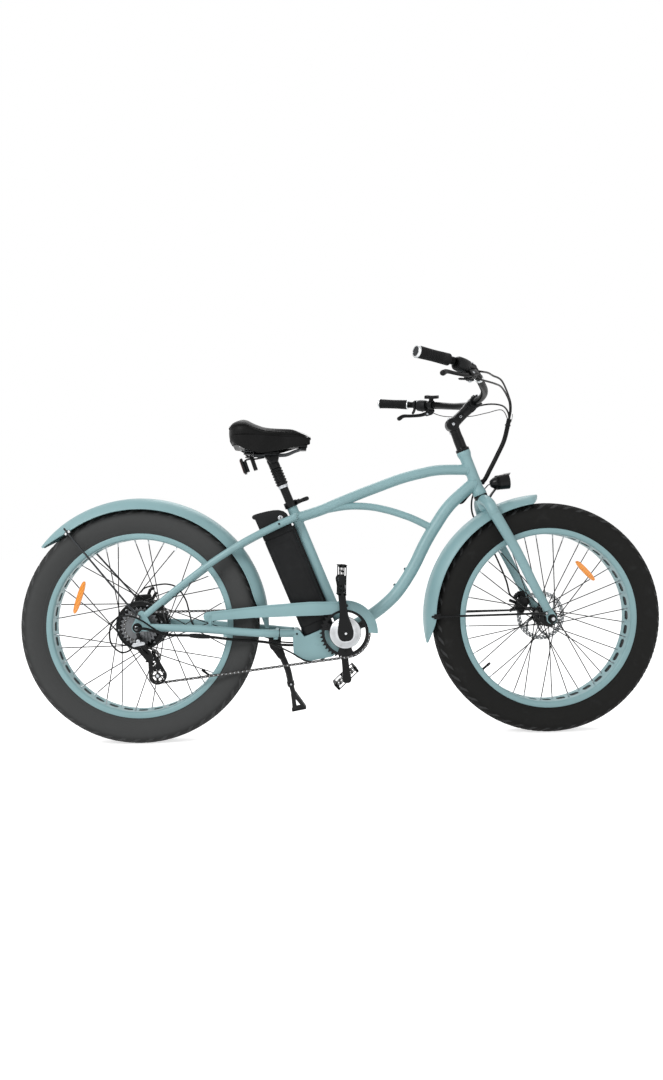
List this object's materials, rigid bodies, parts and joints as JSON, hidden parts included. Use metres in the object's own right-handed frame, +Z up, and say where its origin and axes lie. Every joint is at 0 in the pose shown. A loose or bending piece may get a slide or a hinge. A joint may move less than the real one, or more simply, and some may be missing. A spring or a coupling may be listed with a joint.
{
  "type": "electric beach cruiser",
  "caption": "Fat-tyred electric cruiser bicycle with swept bars, a curved twin-tube frame, hub motor, seat-tube battery, fenders, chain drive and disc brakes.",
  "frame": {"origin": "on the ground, midway between the ends of the two tyres", "axes": "+X forwards, towards the front wheel; +Y to the rider's left; +Z up"},
  "size_m": [2.0244, 0.8708, 1.1467],
  "materials": {
    "teal": "satin pale teal enamel",
    "black": "moulded or coated black",
    "rubber": "matte black rubber",
    "black_steel": "gloss black coated steel and alloy",
    "steel": "bare steel",
    "chain": "dark oiled steel",
    "vinyl": "black grained vinyl over foam",
    "cable": "black cable casing"
  },
  "bodies": {
    "frame": {"head_tube": "teal", "top_tube": "teal", "down_tube": "teal", "seat_tube": "teal", "seat_stays": "teal", "chain_stays": "teal", "controller_housing": "teal", "seat_clamp": "black_steel", "chain_guard": "teal", "rear_fender": "teal", "rear_brake_caliper": "black", "rear_derailleur": "black", "rear_axle": "steel", "chain": "chain", "rear_brake_hose": "cable", "drive_side_cables": "cable"},
    "steering": {"fork": "teal", "stem": "black", "handlebar": "black_steel", "right_grip": "rubber", "left_grip": "rubber", "right_brake_bracket": "black", "left_brake_bracket": "black", "shifter": "black", "control_pad": "black", "headlight": "black", "front_fender": "teal", "front_brake_caliper": "black", "front_axle": "steel", "control_cables": "cable"},
    "front_wheel": {"front_tyre": "rubber", "front_rim": "teal", "front_hub": "black_steel", "front_brake_disc": "steel"},
    "rear_wheel": {"rear_tyre": "rubber", "rear_rim": "teal", "rear_hub_motor": "black_steel", "rear_brake_disc": "steel"},
    "crank": {"chainring": "black_steel", "crank_arm_right": "black", "crank_arm_left": "black"},
    "right_pedal": {"pedal_right": "black"},
    "left_pedal": {"pedal_left": "black"},
    "cogs": {"freewheel": "chain"},
    "upper_pulley": {"guide_pulley": "black"},
    "lower_pulley": {"tension_pulley": "black"},
    "stand": {"kickstand": "black_steel"},
    "battery": {"battery_pack": "black", "battery_cap": "black"},
    "lock": {"battery_lock": "steel"},
    "post": {"seatpost": "black_steel"},
    "saddle": {"seatpost_head": "black", "saddle_rails": "steel", "saddle_base": "black", "saddle_cushion": "vinyl"},
    "clamp_lever": {"seat_clamp_lever": "black_steel"},
    "right_lever": {"right_brake_lever": "black_steel"},
    "left_lever": {"left_brake_lever": "black_steel"},
    "gear_lever": {"shifter_lever": "black"},
    "throttle": {"throttle_lever": "black"}
  },
  "joints": [
    {"name": "steering", "type": "hinge", "parent": "frame", "child": "steering", "pos_m": [0.4365, 0, 0.765], "axis": [-0.3567, 0, 0.9342], "range_deg": [-60, 60], "deforming": ["control_cables"]},
    {"name": "front_wheel_spin", "type": "hinge", "parent": "steering", "child": "front_wheel", "pos_m": [0.645, 0, 0.36722], "axis": [0, 1, 0], "continuous": true},
    {"name": "rear_wheel_spin", "type": "hinge", "parent": "frame", "child": "rear_wheel", "pos_m": [-0.645, 0, 0.36722], "axis": [0, 1, 0], "continuous": true},
    {"name": "crank_spin", "type": "hinge", "parent": "frame", "child": "crank", "pos_m": [-0.0105, 0, 0.336], "axis": [0, 1, 0], "continuous": true},
    {"name": "right_pedal_spin", "type": "hinge", "parent": "crank", "child": "right_pedal", "pos_m": [-0.02502, -0.1405, 0.50538], "axis": [0, 1, 0], "continuous": true},
    {"name": "left_pedal_spin", "type": "hinge", "parent": "crank", "child": "left_pedal", "pos_m": [0.00402, 0.1405, 0.16662], "axis": [0, 1, 0], "continuous": true},
    {"name": "freewheel_spin", "type": "hinge", "parent": "frame", "child": "cogs", "pos_m": [-0.645, 0, 0.36722], "axis": [0, 1, 0], "continuous": true},
    {"name": "guide_pulley_spin", "type": "hinge", "parent": "frame", "child": "upper_pulley", "pos_m": [-0.606, -0.062, 0.272], "axis": [0, 1, 0], "continuous": true},
    {"name": "tension_pulley_spin", "type": "hinge", "parent": "frame", "child": "lower_pulley", "pos_m": [-0.59, -0.062, 0.2155], "axis": [0, 1, 0], "continuous": true},
    {"name": "kickstand_fold", "type": "hinge", "parent": "frame", "child": "stand", "pos_m": [-0.23, 0.0706, 0.287], "axis": [0, 1, 0], "range_deg": [0, 95]},
    {"name": "battery_slide", "type": "slide", "parent": "frame", "child": "battery", "axis": [-0.3746, 0, 0.9272], "range_m": [0, 0.11]},
    {"name": "battery_lock_turn", "type": "hinge", "parent": "battery", "child": "lock", "pos_m": [-0.2071, -0.0425, 0.69715], "axis": [0, 1, 0], "range_deg": [0, 90]},
    {"name": "seatpost_slide", "type": "slide", "parent": "frame", "child": "post", "axis": [-0.3746, 0, 0.9272], "range_m": [-0.015, 0.09]},
    {"name": "seat_suspension", "type": "slide", "parent": "post", "child": "saddle", "axis": [-0.3746, 0, 0.9272], "range_m": [-0.04, 0], "stiffness_N_per_m": 15000, "springref_m": 0.002},
    {"name": "clamp_lever_swing", "type": "hinge", "parent": "frame", "child": "clamp_lever", "pos_m": [-0.14962, -0.0162, 0.74841], "axis": [-0.3746, 0, 0.9272], "range_deg": [-120, 0]},
    {"name": "right_brake_squeeze", "type": "hinge", "parent": "steering", "child": "right_lever", "pos_m": [0.334, -0.344, 1.083], "axis": [-0.4646, 0.6972, -0.5459], "range_deg": [0, 11], "stiffness_Nm_per_rad": 0.8, "springref_deg": -11.46},
    {"name": "left_brake_squeeze", "type": "hinge", "parent": "steering", "child": "left_lever", "pos_m": [0.334, 0.344, 1.083], "axis": [0.4646, 0.6972, 0.5459], "range_deg": [0, 11], "stiffness_Nm_per_rad": 0.8, "springref_deg": -11.46},
    {"name": "gear_lever_push", "type": "hinge", "parent": "steering", "child": "gear_lever", "pos_m": [0.33648, -0.31131, 1.07893], "axis": [-0.0864, -0.0803, -0.993], "range_deg": [0, 20], "stiffness_Nm_per_rad": 0.3, "springref_deg": -11.46},
    {"name": "throttle_push", "type": "hinge", "parent": "steering", "child": "throttle", "pos_m": [0.29048, 0.35405, 1.11409], "axis": [-0.7275, 0.6759, 0.118], "range_deg": [-35, 0], "stiffness_Nm_per_rad": 0.15, "springref_deg": 11.46}
  ],
  "couplings": [
    {"joint": "freewheel_spin", "follows": "crank_spin", "ratio": 1.7273},
    {"joint": "guide_pulley_spin", "follows": "crank_spin", "ratio": -3.4545},
    {"joint": "tension_pulley_spin", "follows": "crank_spin", "ratio": 3.4545}
  ]
}
